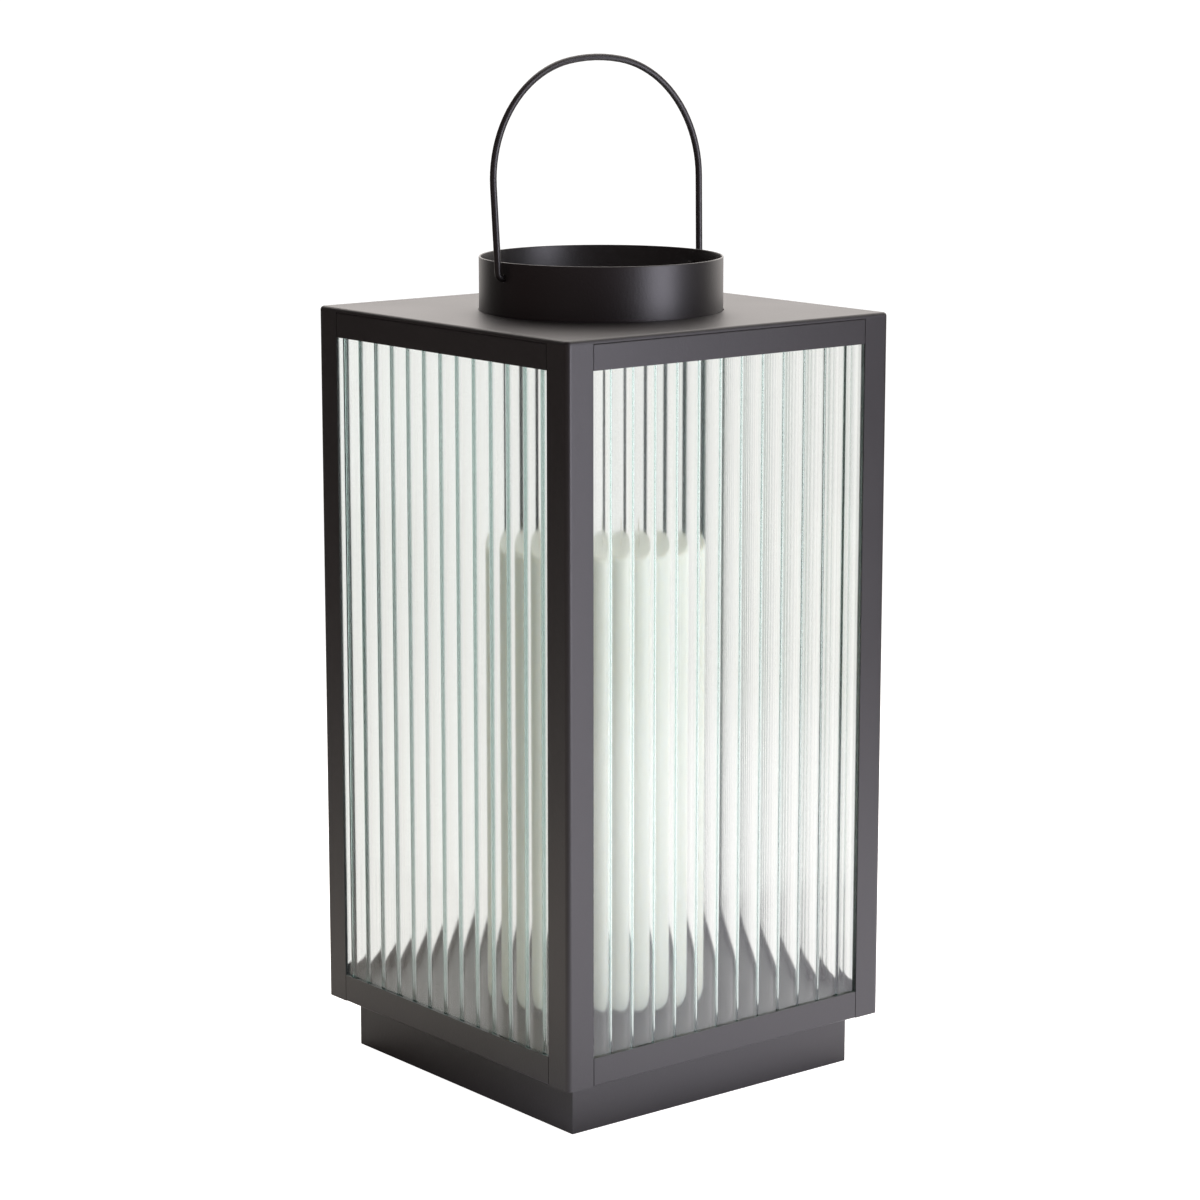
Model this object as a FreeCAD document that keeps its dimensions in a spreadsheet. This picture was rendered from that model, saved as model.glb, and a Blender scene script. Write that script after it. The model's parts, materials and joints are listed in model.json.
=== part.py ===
import FreeCAD, Part
import math
import os

import Sketcher

# A candle lantern: a square box frame of folded sheet metal with fluted glass on its four sides,
# standing on a recessed plinth, with an open collar and a wire bail on its roof, and a pillar candle
# inside. Millimetres, +Z up. The origin is the middle of the plinth's underside, and the front faces -Y.

DIMENSIONS = {
    # box frame
    "body_width": 190.0,
    "frame_height": 336.9,
    "sheet_thickness": 1.0,
    "fold_radius": 0.8,
    "post_width": 14.5,
    "post_fold_radius": 2.3,
    "rail_depth": 14.0,
    "top_rail_height": 11.8,
    "bottom_rail_height": 13.2,
    "rail_seam": 0.35,
    "fit_gap": 0.3,
    # plinth
    "plinth_height": 24.9,
    "plinth_inset": 11.0,
    "plinth_sheet": 1.2,
    "plinth_top_flange": 12.0,
    "plinth_foot_flange": 9.0,
    # floor and roof plates
    "floor_rise": 6.2,
    "floor_thickness": 1.2,
    "roof_thickness": 2.0,
    "roof_edge_radius": 1.7,
    # fluted panes
    "glass_thickness": 4.0,
    "pane_top_lap": 4.0,
    "flute_pitch": 12.65,
    "flute_depth": 1.2,
    "ridge_width": 0.5,
    "flute_offset": 2.6,
    # tabs behind the panes
    "tab_thickness": 0.8,
    "tab_width": 12.0,
    "tab_foot": 5.0,
    "tab_spread": 45.0,
    "tab_hidden_by": 1.0,
    # collar
    "collar_radius": 57.2,
    "collar_wall": 0.9,
    "collar_height": 25.0,
    "collar_flange": 6.0,
    "collar_rim_radius": 0.4,
    # bail
    "hinge_height": 17.7,
    "hinge_clearance": 0.08,
    "wire_diameter": 3.2,
    "pin_stub": 2.7,
    "bail_side_gap": 0.5,
    "bail_bend_radius": 2.5,
    "bail_overhang": 4.05,
    "bail_rise": 98.9,
    "bail_shoulder_offset": 5.9,
    "bail_crown_gain": 35.5,
    "bail_lean": 2.6,
    # candle
    "candle_radius": 37.5,
    "candle_height": 220.0,
    "candle_edge_radius": 3.0,
    "candle_foot_radius": 1.0,
    "candle_dish_radius": 24.0,
    "candle_dish_depth": 1.5,
    "wick_diameter": 2.4,
    "wick_clearance": 0.1,
    "wick_height": 12.0,
}

# Places and fits that follow from the driving dimensions
HALF_WIDTH = "(dims.body_width / 2)"
OUTER_FACE = f"(-{HALF_WIDTH})"
POST_EDGE = f"({HALF_WIDTH} - dims.post_width)"
RAIL_HALF_LENGTH = f"({POST_EDGE} - dims.rail_seam)"
FLOOR_TOP = "(dims.floor_rise + dims.floor_thickness)"
ROOF_UNDERSIDE = "(dims.plinth_height + dims.frame_height)"
ROOF_TOP = f"({ROOF_UNDERSIDE} + dims.roof_thickness)"
PLINTH_HALF = f"({HALF_WIDTH} - dims.plinth_inset)"
INNER_FACE = f"({OUTER_FACE} + dims.sheet_thickness)"
PANE_FRONT = f"({INNER_FACE} + dims.fit_gap)"
PANE_BACK = f"({PANE_FRONT} + dims.glass_thickness)"
TAB_BACK = f"({PANE_BACK} + dims.tab_thickness)"
# A pane's edge stops short of the next pane round the corner
PANE_HALF = f"(-{PANE_BACK} - dims.fit_gap)"
PANE_TOP = "(dims.frame_height - dims.top_rail_height + dims.pane_top_lap)"
FLUTE_HALF_CHORD = "((dims.flute_pitch - dims.ridge_width) / 2)"
FLUTE_RADIUS = f"(({FLUTE_HALF_CHORD}^2 + dims.flute_depth^2) / (2 * dims.flute_depth))"
COLLAR_BORE = "(dims.collar_radius - dims.collar_wall)"
HINGE_LEVEL = f"({ROOF_TOP} + dims.hinge_height)"
PIN_END = f"({COLLAR_BORE} - dims.pin_stub)"
BEND_START = "(dims.collar_radius + dims.bail_side_gap)"
BAIL_SHOULDER_RADIUS = "(dims.collar_radius + dims.bail_overhang - dims.bail_shoulder_offset)"
BAIL_CROWN_RADIUS = f"({BAIL_SHOULDER_RADIUS} + dims.bail_crown_gain)"
WICK_BORE = "(dims.wick_diameter / 2 + dims.wick_clearance)"

SIDES = {"front": 0, "right": 90, "back": 180, "left": 270}
CORNERS = {"front_left": 0, "front_right": 90, "back_right": 180, "back_left": 270}
SIDEWAYS = FreeCAD.Vector(1, 0, 0)
UPRIGHT = FreeCAD.Vector(0, 0, 1)
ROUGH_SIZE = 10.0
TOLERANCE = 1e-4

doc = FreeCAD.newDocument("candle_lantern")
sheet = doc.addObject("Spreadsheet::Sheet", "dims")
for row, (alias, value) in enumerate(DIMENSIONS.items(), start=1):
    sheet.set(f"A{row}", alias)
    sheet.set(f"B{row}", str(value))
    sheet.setAlias(f"B{row}", alias)
doc.recompute()

subparts = []


def new_body(label, turn=0, level="0"):
    """A sub-part, turned about the lantern's axis and lifted to a level."""
    body = doc.addObject("PartDesign::Body", label)
    body.Label = label
    body.Placement = FreeCAD.Placement(FreeCAD.Vector(), FreeCAD.Rotation(UPRIGHT, turn))
    body.setExpression("Placement.Base.z", level)
    subparts.append(body)
    return body


def origin_feature(body, role):
    """One of the body's own origin planes or axes."""
    return next(feature for feature in body.Origin.OriginFeatures if feature.Role == role)


def new_sketch(body, name, role, lift="0"):
    """An empty sketch on one of the body's planes, lifted along the plane's normal."""
    sketch = body.newObject("Sketcher::SketchObject", f"{body.Name}_{name}")
    sketch.AttachmentSupport = [(origin_feature(body, role), "")]
    sketch.MapMode = "FlatFace"
    sketch.setExpression("AttachmentOffset.Base.z", lift)
    return sketch


def tie(sketch, kind, references, rough_value, expression):
    """A dimension of the sketch that follows a sheet expression."""
    index = sketch.addConstraint(Sketcher.Constraint(kind, *references, rough_value))
    sketch.setExpression(f"Constraints[{index}]", expression)


def tie_point(sketch, geometry, point, rough, across, up):
    """Ties a point of the sketch to a pair of sheet expressions."""
    tie(sketch, "DistanceX", (-1, 1, geometry, point), rough.x, across)
    tie(sketch, "DistanceY", (-1, 1, geometry, point), rough.y, up)


def draw_outline(sketch, corners):
    """A closed outline through corners given as pairs of sheet expressions, counter-clockwise."""
    first = sketch.GeometryCount
    count = len(corners)
    rough = []
    for corner in range(count):
        angle = 2 * math.pi * corner / count
        rough.append(FreeCAD.Vector(math.cos(angle), math.sin(angle), 0) * ROUGH_SIZE)
    for corner in range(count):
        sketch.addGeometry(Part.LineSegment(rough[corner], rough[(corner + 1) % count]))
    for corner, (across, up) in enumerate(corners):
        following = first + (corner + 1) % count
        sketch.addConstraint(Sketcher.Constraint("Coincident", first + corner, 2, following, 1))
        tie_point(sketch, first + corner, 1, rough[corner], across, up)


def draw_circle(sketch, across, up, radius):
    """A circle whose centre and radius are sheet expressions."""
    index = sketch.addGeometry(Part.Circle(FreeCAD.Vector(), UPRIGHT, ROUGH_SIZE))
    tie_point(sketch, index, 3, FreeCAD.Vector(), across, up)
    tie(sketch, "Radius", (index,), ROUGH_SIZE, radius)


def rectangle(low_x, low_y, high_x, high_y):
    """The corners of a rectangle between two opposite corners."""
    return [(low_x, low_y), (high_x, low_y), (high_x, high_y), (low_x, high_y)]


def pad(body, sketch, length, symmetric=False):
    """Extrudes a sketch along its normal."""
    feature = body.newObject("PartDesign::Pad", f"{sketch.Name}_pad")
    feature.Profile = sketch
    feature.setExpression("Length", length)
    if symmetric:
        feature.SideType = "Symmetric"
    return feature


def cut_through(body, sketch, name):
    """Cuts a sketch through the whole body, both ways."""
    doc.recompute()
    before = body.Tip.Shape.Volume
    feature = body.newObject("PartDesign::Pocket", f"{body.Name}_{name}")
    feature.Profile = sketch
    feature.Type = "ThroughAll"
    feature.SideType = "Symmetric"
    doc.recompute()
    if feature.Shape.Volume >= before - TOLERANCE:
        raise RuntimeError(f"{feature.Name} cuts nothing")
    return feature


def repeat(body, feature, axis_role, spacing, occurrences):
    """Repeats a feature along one of the body's axes."""
    pattern = body.newObject("PartDesign::LinearPattern", f"{feature.Name}_row")
    pattern.Originals = [feature]
    pattern.Direction = (origin_feature(body, axis_role), [""])
    pattern.Mode = "Spacing"
    pattern.setExpression("Offset", spacing)
    pattern.setExpression("Occurrences", occurrences)
    body.Tip = pattern
    return pattern


def revolve(body, sketch):
    """Turns a sketch once about the upright axis."""
    feature = body.newObject("PartDesign::Revolution", f"{sketch.Name}_turned")
    feature.Profile = sketch
    feature.ReferenceAxis = (sketch, ["V_Axis"])
    feature.Angle = 360
    return feature


def round_edges(body, name, radius, wanted):
    """Rounds those edges of the body that the test picks."""
    doc.recompute()
    base = body.Tip
    picked = [f"Edge{number}" for number, edge in enumerate(base.Shape.Edges, start=1) if wanted(edge)]
    if not picked:
        raise RuntimeError(f"{body.Label} has no edge for {name}")
    fillet = body.newObject("PartDesign::Fillet", f"{body.Name}_{name}")
    fillet.Base = (base, picked)
    fillet.setExpression("Radius", radius)
    return fillet


def straight_edges(direction, places):
    """Picks the straight edges along a direction that pass through one of the places."""

    def wanted(edge):
        if not isinstance(edge.Curve, Part.Line):
            return False
        if edge.Curve.Direction.cross(direction).Length > TOLERANCE:
            return False
        return any((edge.CenterOfMass - place).cross(direction).Length < TOLERANCE for place in places)

    return wanted


def round_edge_at(radius, height):
    """Picks the circular edge of a radius at a height."""

    def wanted(edge):
        if not isinstance(edge.Curve, Part.Circle):
            return False
        right_height = abs(edge.CenterOfMass.z - height) < TOLERANCE
        return right_height and abs(edge.Curve.Radius - radius) < TOLERANCE

    return wanted


def corner_post(corner, turn):
    """A folded angle, closed at its foot, whose two legs lap over the edges of the panes."""
    body = new_body(f"corner_post_{corner}", turn, "dims.plinth_height")
    edge = f"({OUTER_FACE} + dims.post_width)"
    sketch = new_sketch(body, "section", "XY_Plane")
    draw_outline(sketch, [
        (OUTER_FACE, OUTER_FACE), (edge, OUTER_FACE), (edge, INNER_FACE), (INNER_FACE, INNER_FACE),
        (INNER_FACE, edge), (OUTER_FACE, edge),
    ])
    pad(body, sketch, "dims.frame_height")
    foot = new_sketch(body, "foot", "XY_Plane")
    draw_outline(foot, rectangle(OUTER_FACE, OUTER_FACE, edge, edge))
    pad(body, foot, "dims.sheet_thickness")
    outside = -sheet.body_width / 2
    fold = FreeCAD.Vector(outside, outside, 0)
    round_edges(body, "fold", "dims.post_fold_radius", straight_edges(UPRIGHT, [fold]))
    inside = outside + sheet.sheet_thickness
    crease = FreeCAD.Vector(inside, inside, 0)
    crease_radius = "(dims.post_fold_radius - dims.sheet_thickness)"
    round_edges(body, "crease", crease_radius, straight_edges(UPRIGHT, [crease]))


def top_rail(side, turn):
    """A folded angle under the roof: a face that laps over the pane and a flange that carries the roof."""
    level = f"({ROOF_UNDERSIDE} - dims.top_rail_height)"
    body = new_body(f"top_rail_{side}", turn, level)
    back = f"({OUTER_FACE} + dims.rail_depth)"
    top = "dims.top_rail_height"
    under_top = "(dims.top_rail_height - dims.sheet_thickness)"
    sketch = new_sketch(body, "section", "YZ_Plane")
    draw_outline(sketch, [
        (OUTER_FACE, "0"), (INNER_FACE, "0"), (INNER_FACE, under_top), (back, under_top), (back, top),
        (OUTER_FACE, top),
    ])
    pad(body, sketch, f"2 * {RAIL_HALF_LENGTH}", symmetric=True)
    fold = FreeCAD.Vector(0, -sheet.body_width / 2, sheet.top_rail_height)
    round_edges(body, "fold", "dims.fold_radius", straight_edges(SIDEWAYS, [fold]))


def bottom_rail(side, turn):
    """A folded channel on the plinth: a face that laps over the pane and an upstand for the floor."""
    body = new_body(f"bottom_rail_{side}", turn, "dims.plinth_height")
    back = f"({OUTER_FACE} + dims.rail_depth)"
    back_inner = f"({back} - dims.sheet_thickness)"
    top = "dims.bottom_rail_height"
    sketch = new_sketch(body, "section", "YZ_Plane")
    draw_outline(sketch, [
        (OUTER_FACE, "0"), (back, "0"), (back, "dims.floor_rise"), (back_inner, "dims.floor_rise"),
        (back_inner, "dims.sheet_thickness"), (INNER_FACE, "dims.sheet_thickness"), (INNER_FACE, top),
        (OUTER_FACE, top),
    ])
    pad(body, sketch, f"2 * {RAIL_HALF_LENGTH}", symmetric=True)
    fold = FreeCAD.Vector(0, -sheet.body_width / 2, 0)
    round_edges(body, "fold", "dims.fold_radius", straight_edges(SIDEWAYS, [fold]))


def glass_pane(side, turn):
    """A pane with hollow flutes on its inner side, standing on the floor plate behind the frame."""
    level = f"(dims.plinth_height + {FLOOR_TOP})"
    body = new_body(f"glass_pane_{side}", turn, level)
    blank = new_sketch(body, "blank", "XY_Plane")
    draw_outline(blank, rectangle(f"(-{PANE_HALF})", PANE_FRONT, PANE_HALF, PANE_BACK))
    pad(body, blank, f"({PANE_TOP} - {FLOOR_TOP})")

    # The outermost flutes still take a little glass off the pane's edges
    reach = f"({PANE_HALF} + {FLUTE_HALF_CHORD} - dims.fit_gap)"
    flutes_left = f"floor(({reach} + dims.flute_offset) / dims.flute_pitch)"
    flutes_right = f"floor(({reach} - dims.flute_offset) / dims.flute_pitch)"
    first = f"(dims.flute_offset - {flutes_left} * dims.flute_pitch)"
    centre = f"({PANE_BACK} - dims.flute_depth + {FLUTE_RADIUS})"
    flute = new_sketch(body, "flute", "XY_Plane")
    draw_circle(flute, first, centre, FLUTE_RADIUS)
    cut = cut_through(body, flute, "flute_cut")
    repeat(body, cut, "X_Axis", "dims.flute_pitch", f"{flutes_left} + {flutes_right} + 1")


def pane_tabs(side, turn):
    """Four bent tabs that hold a pane from behind: two under the top rail and two on the floor plate."""
    body = new_body(f"pane_tabs_{side}", turn)
    foot_end = f"({PANE_BACK} + dims.tab_foot)"
    roof_foot = f"({ROOF_UNDERSIDE} - dims.sheet_thickness)"
    roof_foot_under = f"({roof_foot} - dims.tab_thickness)"
    upper_end = f"({ROOF_UNDERSIDE} - dims.top_rail_height + dims.tab_hidden_by)"
    floor_foot = f"(dims.plinth_height + {FLOOR_TOP})"
    floor_foot_top = f"({floor_foot} + dims.tab_thickness)"
    lower_end = "(dims.plinth_height + dims.bottom_rail_height - dims.tab_hidden_by)"
    sketch = new_sketch(body, "section", "YZ_Plane", lift="(-dims.tab_spread - dims.tab_width / 2)")
    draw_outline(sketch, [
        (PANE_BACK, upper_end), (TAB_BACK, upper_end), (TAB_BACK, roof_foot_under),
        (foot_end, roof_foot_under), (foot_end, roof_foot), (PANE_BACK, roof_foot),
    ])
    draw_outline(sketch, [
        (PANE_BACK, floor_foot), (foot_end, floor_foot), (foot_end, floor_foot_top),
        (TAB_BACK, floor_foot_top), (TAB_BACK, lower_end), (PANE_BACK, lower_end),
    ])
    tabs = pad(body, sketch, "dims.tab_width")
    repeat(body, tabs, "X_Axis", "2 * dims.tab_spread", "2")


def floor_plate():
    """A plate on the bottom rails' upstands, notched at its corners round the posts."""
    body = new_body("floor_plate", level="(dims.plinth_height + dims.floor_rise)")
    far = f"({HALF_WIDTH} - dims.sheet_thickness - dims.fit_gap)"
    near = f"({POST_EDGE} - dims.fit_gap)"
    minus_far = f"(-{far})"
    minus_near = f"(-{near})"
    sketch = new_sketch(body, "outline", "XY_Plane")
    draw_outline(sketch, [
        (minus_near, minus_far), (near, minus_far), (near, minus_near), (far, minus_near),
        (far, near), (near, near), (near, far), (minus_near, far), (minus_near, near),
        (minus_far, near), (minus_far, minus_near), (minus_near, minus_near),
    ])
    pad(body, sketch, "dims.floor_thickness")


def plinth_side(side, turn):
    """A folded channel, mitred at both ends, with its back open to the inside."""
    body = new_body(f"plinth_{side}", turn)
    under_top = "(dims.plinth_height - dims.plinth_sheet)"
    strips = [
        ("web", "dims.plinth_sheet", "0", "dims.plinth_height"),
        ("foot_flange", "dims.plinth_foot_flange", "0", "dims.plinth_sheet"),
        ("top_flange", "dims.plinth_top_flange", under_top, "dims.plinth_sheet"),
    ]
    for name, depth, lift, height in strips:
        inside = f"({PLINTH_HALF} - {depth})"
        sketch = new_sketch(body, name, "XY_Plane", lift)
        draw_outline(sketch, [
            (f"(-{PLINTH_HALF})", f"(-{PLINTH_HALF})"), (PLINTH_HALF, f"(-{PLINTH_HALF})"),
            (inside, f"(-{inside})"), (f"(-{inside})", f"(-{inside})"),
        ])
        pad(body, sketch, height)


def roof_plate():
    """The square roof, with a round hole for the collar and rounded edges."""
    body = new_body("roof_plate", level=ROOF_UNDERSIDE)
    sketch = new_sketch(body, "outline", "XY_Plane")
    draw_outline(sketch, rectangle(OUTER_FACE, OUTER_FACE, HALF_WIDTH, HALF_WIDTH))
    draw_circle(sketch, "0", "0", "dims.collar_radius + dims.fit_gap")
    pad(body, sketch, "dims.roof_thickness")

    half = sheet.body_width / 2
    corners = [FreeCAD.Vector(x, y, 0) for x in (-half, half) for y in (-half, half)]
    round_edges(body, "corners", "dims.post_fold_radius", straight_edges(UPRIGHT, corners))

    def on_upper_rim(edge):
        outside_hole = edge.CenterOfMass.Length > sheet.collar_radius
        return outside_hole and edge.BoundBox.ZMin > sheet.roof_thickness - TOLERANCE

    round_edges(body, "rim", "dims.roof_edge_radius", on_upper_rim)


def collar():
    """A ring through the roof's hole, held by a flange under the roof and pierced for the bail."""
    body = new_body("collar", level=ROOF_TOP)
    flange_radius = "(dims.collar_radius + dims.collar_flange)"
    under_roof = "(-dims.roof_thickness)"
    foot = "(-dims.roof_thickness - dims.collar_wall)"
    sketch = new_sketch(body, "section", "XZ_Plane")
    draw_outline(sketch, [
        (COLLAR_BORE, foot), (flange_radius, foot), (flange_radius, under_roof),
        ("dims.collar_radius", under_roof), ("dims.collar_radius", "dims.collar_height"),
        (COLLAR_BORE, "dims.collar_height"),
    ])
    revolve(body, sketch)

    outer_rim = round_edge_at(sheet.collar_radius, sheet.collar_height)
    inner_rim = round_edge_at(sheet.collar_radius - sheet.collar_wall, sheet.collar_height)
    round_edges(body, "rim", "dims.collar_rim_radius", lambda edge: outer_rim(edge) or inner_rim(edge))

    hole = new_sketch(body, "bail_hole", "YZ_Plane")
    draw_circle(hole, "0", "dims.hinge_height", "dims.wire_diameter / 2 + dims.hinge_clearance")
    cut_through(body, hole, "bail_holes")


def bail_path(body):
    """Half of the bail's centre line in the XZ plane, from its end inside the collar to its crown."""
    end = sheet.collar_radius - sheet.collar_wall - sheet.pin_stub
    bend = FreeCAD.Vector(sheet.collar_radius + sheet.bail_side_gap, sheet.bail_bend_radius, 0)
    across = sheet.bail_shoulder_offset
    shoulder_radius = sheet.collar_radius + sheet.bail_overhang - across
    crown_radius = shoulder_radius + sheet.bail_crown_gain
    crown = FreeCAD.Vector(0, sheet.bail_rise - crown_radius, 0)
    shoulder_rise = math.sqrt(max(sheet.bail_crown_gain**2 - across**2, 0))
    shoulder = crown + FreeCAD.Vector(across, shoulder_rise, 0)
    meeting = math.atan2(shoulder_rise, across)

    sketch = new_sketch(body, "path", "XZ_Plane")

    def arc(centre, radius, start, stop):
        return Part.ArcOfCircle(Part.Circle(centre, UPRIGHT, radius), start, stop)

    pin = sketch.addGeometry(Part.LineSegment(FreeCAD.Vector(end, 0, 0), FreeCAD.Vector(bend.x, 0, 0)))
    bend_arc = sketch.addGeometry(arc(bend, sheet.bail_bend_radius, -math.pi / 2, 0))
    leg_foot = bend + FreeCAD.Vector(sheet.bail_bend_radius, 0, 0)
    leg_head = shoulder + FreeCAD.Vector(shoulder_radius, 0, 0)
    leg = sketch.addGeometry(Part.LineSegment(leg_foot, leg_head))
    shoulder_arc = sketch.addGeometry(arc(shoulder, shoulder_radius, 0, meeting))
    crown_arc = sketch.addGeometry(arc(crown, crown_radius, meeting, math.pi / 2))

    line = [pin, bend_arc, leg, shoulder_arc, crown_arc]
    for before, after in zip(line, line[1:]):
        sketch.addConstraint(Sketcher.Constraint("Tangent", before, 2, after, 1))
    sketch.addConstraint(Sketcher.Constraint("Horizontal", pin))
    sketch.addConstraint(Sketcher.Constraint("PointOnObject", crown_arc, 3, -2))
    tie_point(sketch, pin, 1, FreeCAD.Vector(end, 0, 0), PIN_END, "0")
    tie_point(sketch, crown_arc, 2, FreeCAD.Vector(0, sheet.bail_rise, 0), "0", "dims.bail_rise")
    tie(sketch, "DistanceX", (-1, 1, pin, 2), bend.x, BEND_START)
    tie(sketch, "DistanceX", (-1, 1, shoulder_arc, 3), across, "dims.bail_shoulder_offset")
    tie(sketch, "Radius", (bend_arc,), sheet.bail_bend_radius, "dims.bail_bend_radius")
    tie(sketch, "Radius", (shoulder_arc,), shoulder_radius, BAIL_SHOULDER_RADIUS)
    tie(sketch, "Radius", (crown_arc,), crown_radius, BAIL_CROWN_RADIUS)
    return sketch


def bail_handle():
    """A bent wire whose ends turn in the collar's holes, leaning back a little from upright."""
    body = new_body("bail_handle", level=HINGE_LEVEL)
    body.Placement.Rotation = FreeCAD.Rotation(SIDEWAYS.negative(), sheet.bail_lean)
    body.setExpression("Placement.Rotation.Angle", "dims.bail_lean")
    path = bail_path(body)
    section = new_sketch(body, "section", "YZ_Plane", lift=PIN_END)
    draw_circle(section, "0", "0", "dims.wire_diameter / 2")
    doc.recompute()
    wire = body.newObject("PartDesign::AdditivePipe", "bail_handle_wire")
    wire.Profile = section
    wire.Spine = (path, [f"Edge{number}" for number in range(1, path.GeometryCount + 1)])
    doc.recompute()
    other_half = body.newObject("PartDesign::Mirrored", "bail_handle_other_half")
    other_half.Originals = [wire]
    other_half.MirrorPlane = (origin_feature(body, "YZ_Plane"), [""])
    body.Tip = other_half


def candle_body():
    """A pillar of wax with a dished top, bored for its wick."""
    body = new_body("candle_body", level=f"(dims.plinth_height + {FLOOR_TOP})")
    top = "dims.candle_height"
    sketch = new_sketch(body, "section", "XZ_Plane")
    draw_outline(sketch, [
        (WICK_BORE, "0"), ("dims.candle_radius", "0"), ("dims.candle_radius", top),
        ("dims.candle_dish_radius", top), (WICK_BORE, f"({top} - dims.candle_dish_depth)"),
    ])
    revolve(body, sketch)
    top_edge = round_edge_at(sheet.candle_radius, sheet.candle_height)
    round_edges(body, "shoulder", "dims.candle_edge_radius", top_edge)
    round_edges(body, "foot", "dims.candle_foot_radius", round_edge_at(sheet.candle_radius, 0))


def candle_wick():
    """A wick through the candle's whole height, standing out of its top."""
    body = new_body("candle_wick", level=f"(dims.plinth_height + {FLOOR_TOP})")
    sketch = new_sketch(body, "section", "XY_Plane")
    draw_circle(sketch, "0", "0", "dims.wick_diameter / 2")
    pad(body, sketch, "dims.candle_height + dims.wick_height")


def build():
    """Models every sub-part."""
    for corner, turn in CORNERS.items():
        corner_post(corner, turn)
    for side, turn in SIDES.items():
        plinth_side(side, turn)
        bottom_rail(side, turn)
        top_rail(side, turn)
        glass_pane(side, turn)
        pane_tabs(side, turn)
    floor_plate()
    roof_plate()
    collar()
    bail_handle()
    candle_body()
    candle_wick()
    doc.recompute()


def check():
    """Stops if any feature failed or any sub-part isn't a sound solid."""
    for item in doc.Objects:
        if "Invalid" in item.State or "Error" in item.State:
            raise RuntimeError(f"{item.Name} failed: {item.State}")
    for body in subparts:
        if body.Shape.isNull() or not body.Shape.isValid() or not body.Shape.Solids:
            raise RuntimeError(f"{body.Label} is not a sound solid")


def export():
    """Writes each sub-part to its own file."""
    os.makedirs("parts", exist_ok=True)
    for body in subparts:
        body.Shape.exportStep(f"parts/{body.Label}.step")


build()
check()
export()
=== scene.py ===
import json
import math

import bmesh
import bpy
from mathutils import Matrix, Vector


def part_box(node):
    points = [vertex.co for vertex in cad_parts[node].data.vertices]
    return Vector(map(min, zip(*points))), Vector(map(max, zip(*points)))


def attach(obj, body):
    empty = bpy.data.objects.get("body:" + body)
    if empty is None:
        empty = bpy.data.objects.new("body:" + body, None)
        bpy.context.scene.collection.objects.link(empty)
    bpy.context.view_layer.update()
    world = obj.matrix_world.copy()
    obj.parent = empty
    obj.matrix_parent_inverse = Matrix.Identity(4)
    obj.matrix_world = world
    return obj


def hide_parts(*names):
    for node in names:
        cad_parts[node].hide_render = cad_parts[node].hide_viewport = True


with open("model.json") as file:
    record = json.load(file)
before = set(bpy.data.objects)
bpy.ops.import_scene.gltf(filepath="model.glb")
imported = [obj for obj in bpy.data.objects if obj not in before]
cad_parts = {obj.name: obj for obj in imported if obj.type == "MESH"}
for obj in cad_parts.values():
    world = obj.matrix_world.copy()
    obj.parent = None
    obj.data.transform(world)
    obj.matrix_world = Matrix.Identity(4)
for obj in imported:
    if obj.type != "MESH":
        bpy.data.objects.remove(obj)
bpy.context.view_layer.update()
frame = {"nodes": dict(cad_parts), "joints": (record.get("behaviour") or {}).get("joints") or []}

# A square candle lantern: black coated sheet metal, fluted glass, a wire bail and a pillar candle.
# Metres, +Z up, the front faces -Y. The photograph looks at the corner between the left and front sides.

MM = 0.001
SIDES = {"front": 0, "right": 90, "back": 180, "left": 270}
MERGE_DISTANCE = 0.001 * MM
JOIN_DISTANCE = 0.01 * MM

# Fluted panes
FLUTE_PITCH = 12.65 * MM
FLUTE_DEPTH = 1.2 * MM
FLUTE_OFFSET = 2.6 * MM
RIDGE_RADIUS = 0.6 * MM
FLUTE_STEPS = 28
RIDGE_STEPS = 8
PANE_SMOOTH_ANGLE = math.radians(40)

# Collar
COLLAR_RADIUS = 57.2 * MM
COLLAR_WALL = 0.9 * MM
COLLAR_SEGMENTS = 192
RIM_ROUNDING = 0.4 * MM
RIM_SEGMENTS = 4
BAIL_HOLE_RADIUS = 1.68 * MM
HOLE_SEGMENTS = 32
DRILL_LENGTH = 3 * COLLAR_RADIUS
COLLAR_SMOOTH_ANGLE = math.radians(35)

# Bail wire
WIRE_RADIUS = 1.6 * MM
WIRE_SEGMENTS = 20
PIN_STUB = 2.7 * MM
BEND_RADIUS = 2.5 * MM
BEND_STEPS = 10
BAIL_SIDE_GAP = 0.5 * MM
BAIL_OVERHANG = 4.05 * MM
BAIL_RISE = 98.9 * MM
SHOULDER_OFFSET = 5.9 * MM
CROWN_GAIN = 35.5 * MM
ARCH_STEPS_PER_TURN = 96
BAIL_LEAN = math.radians(2.6)
WIRE_END_ROUNDING = 0.4 * MM
WIRE_END_SEGMENTS = 3
WIRE_SMOOTH_ANGLE = math.radians(50)

# Candle and wick
CANDLE_SEGMENTS = 128
CANDLE_RISES = 24
CANDLE_SHOULDER = 3.0 * MM
CANDLE_FOOT = 1.0 * MM
CANDLE_EDGE_SEGMENTS = 6
CANDLE_DISH_RADIUS = 24.0 * MM
CANDLE_DISH_DEPTH = 1.5 * MM
CANDLE_SMOOTH_ANGLE = math.radians(60)
WICK_HOLE_RADIUS = 1.3 * MM
WICK_RADIUS = 1.2 * MM
WICK_SEGMENTS = 24
WICK_STRANDS = 3
WICK_STRAND_MEAN = 0.86
WICK_STRAND_SWELL = 0.14
WICK_RISES = 60
WICK_TWIST_PER_RISE = math.radians(36)
WICK_SMOOTH_ANGLE = math.radians(60)

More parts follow.
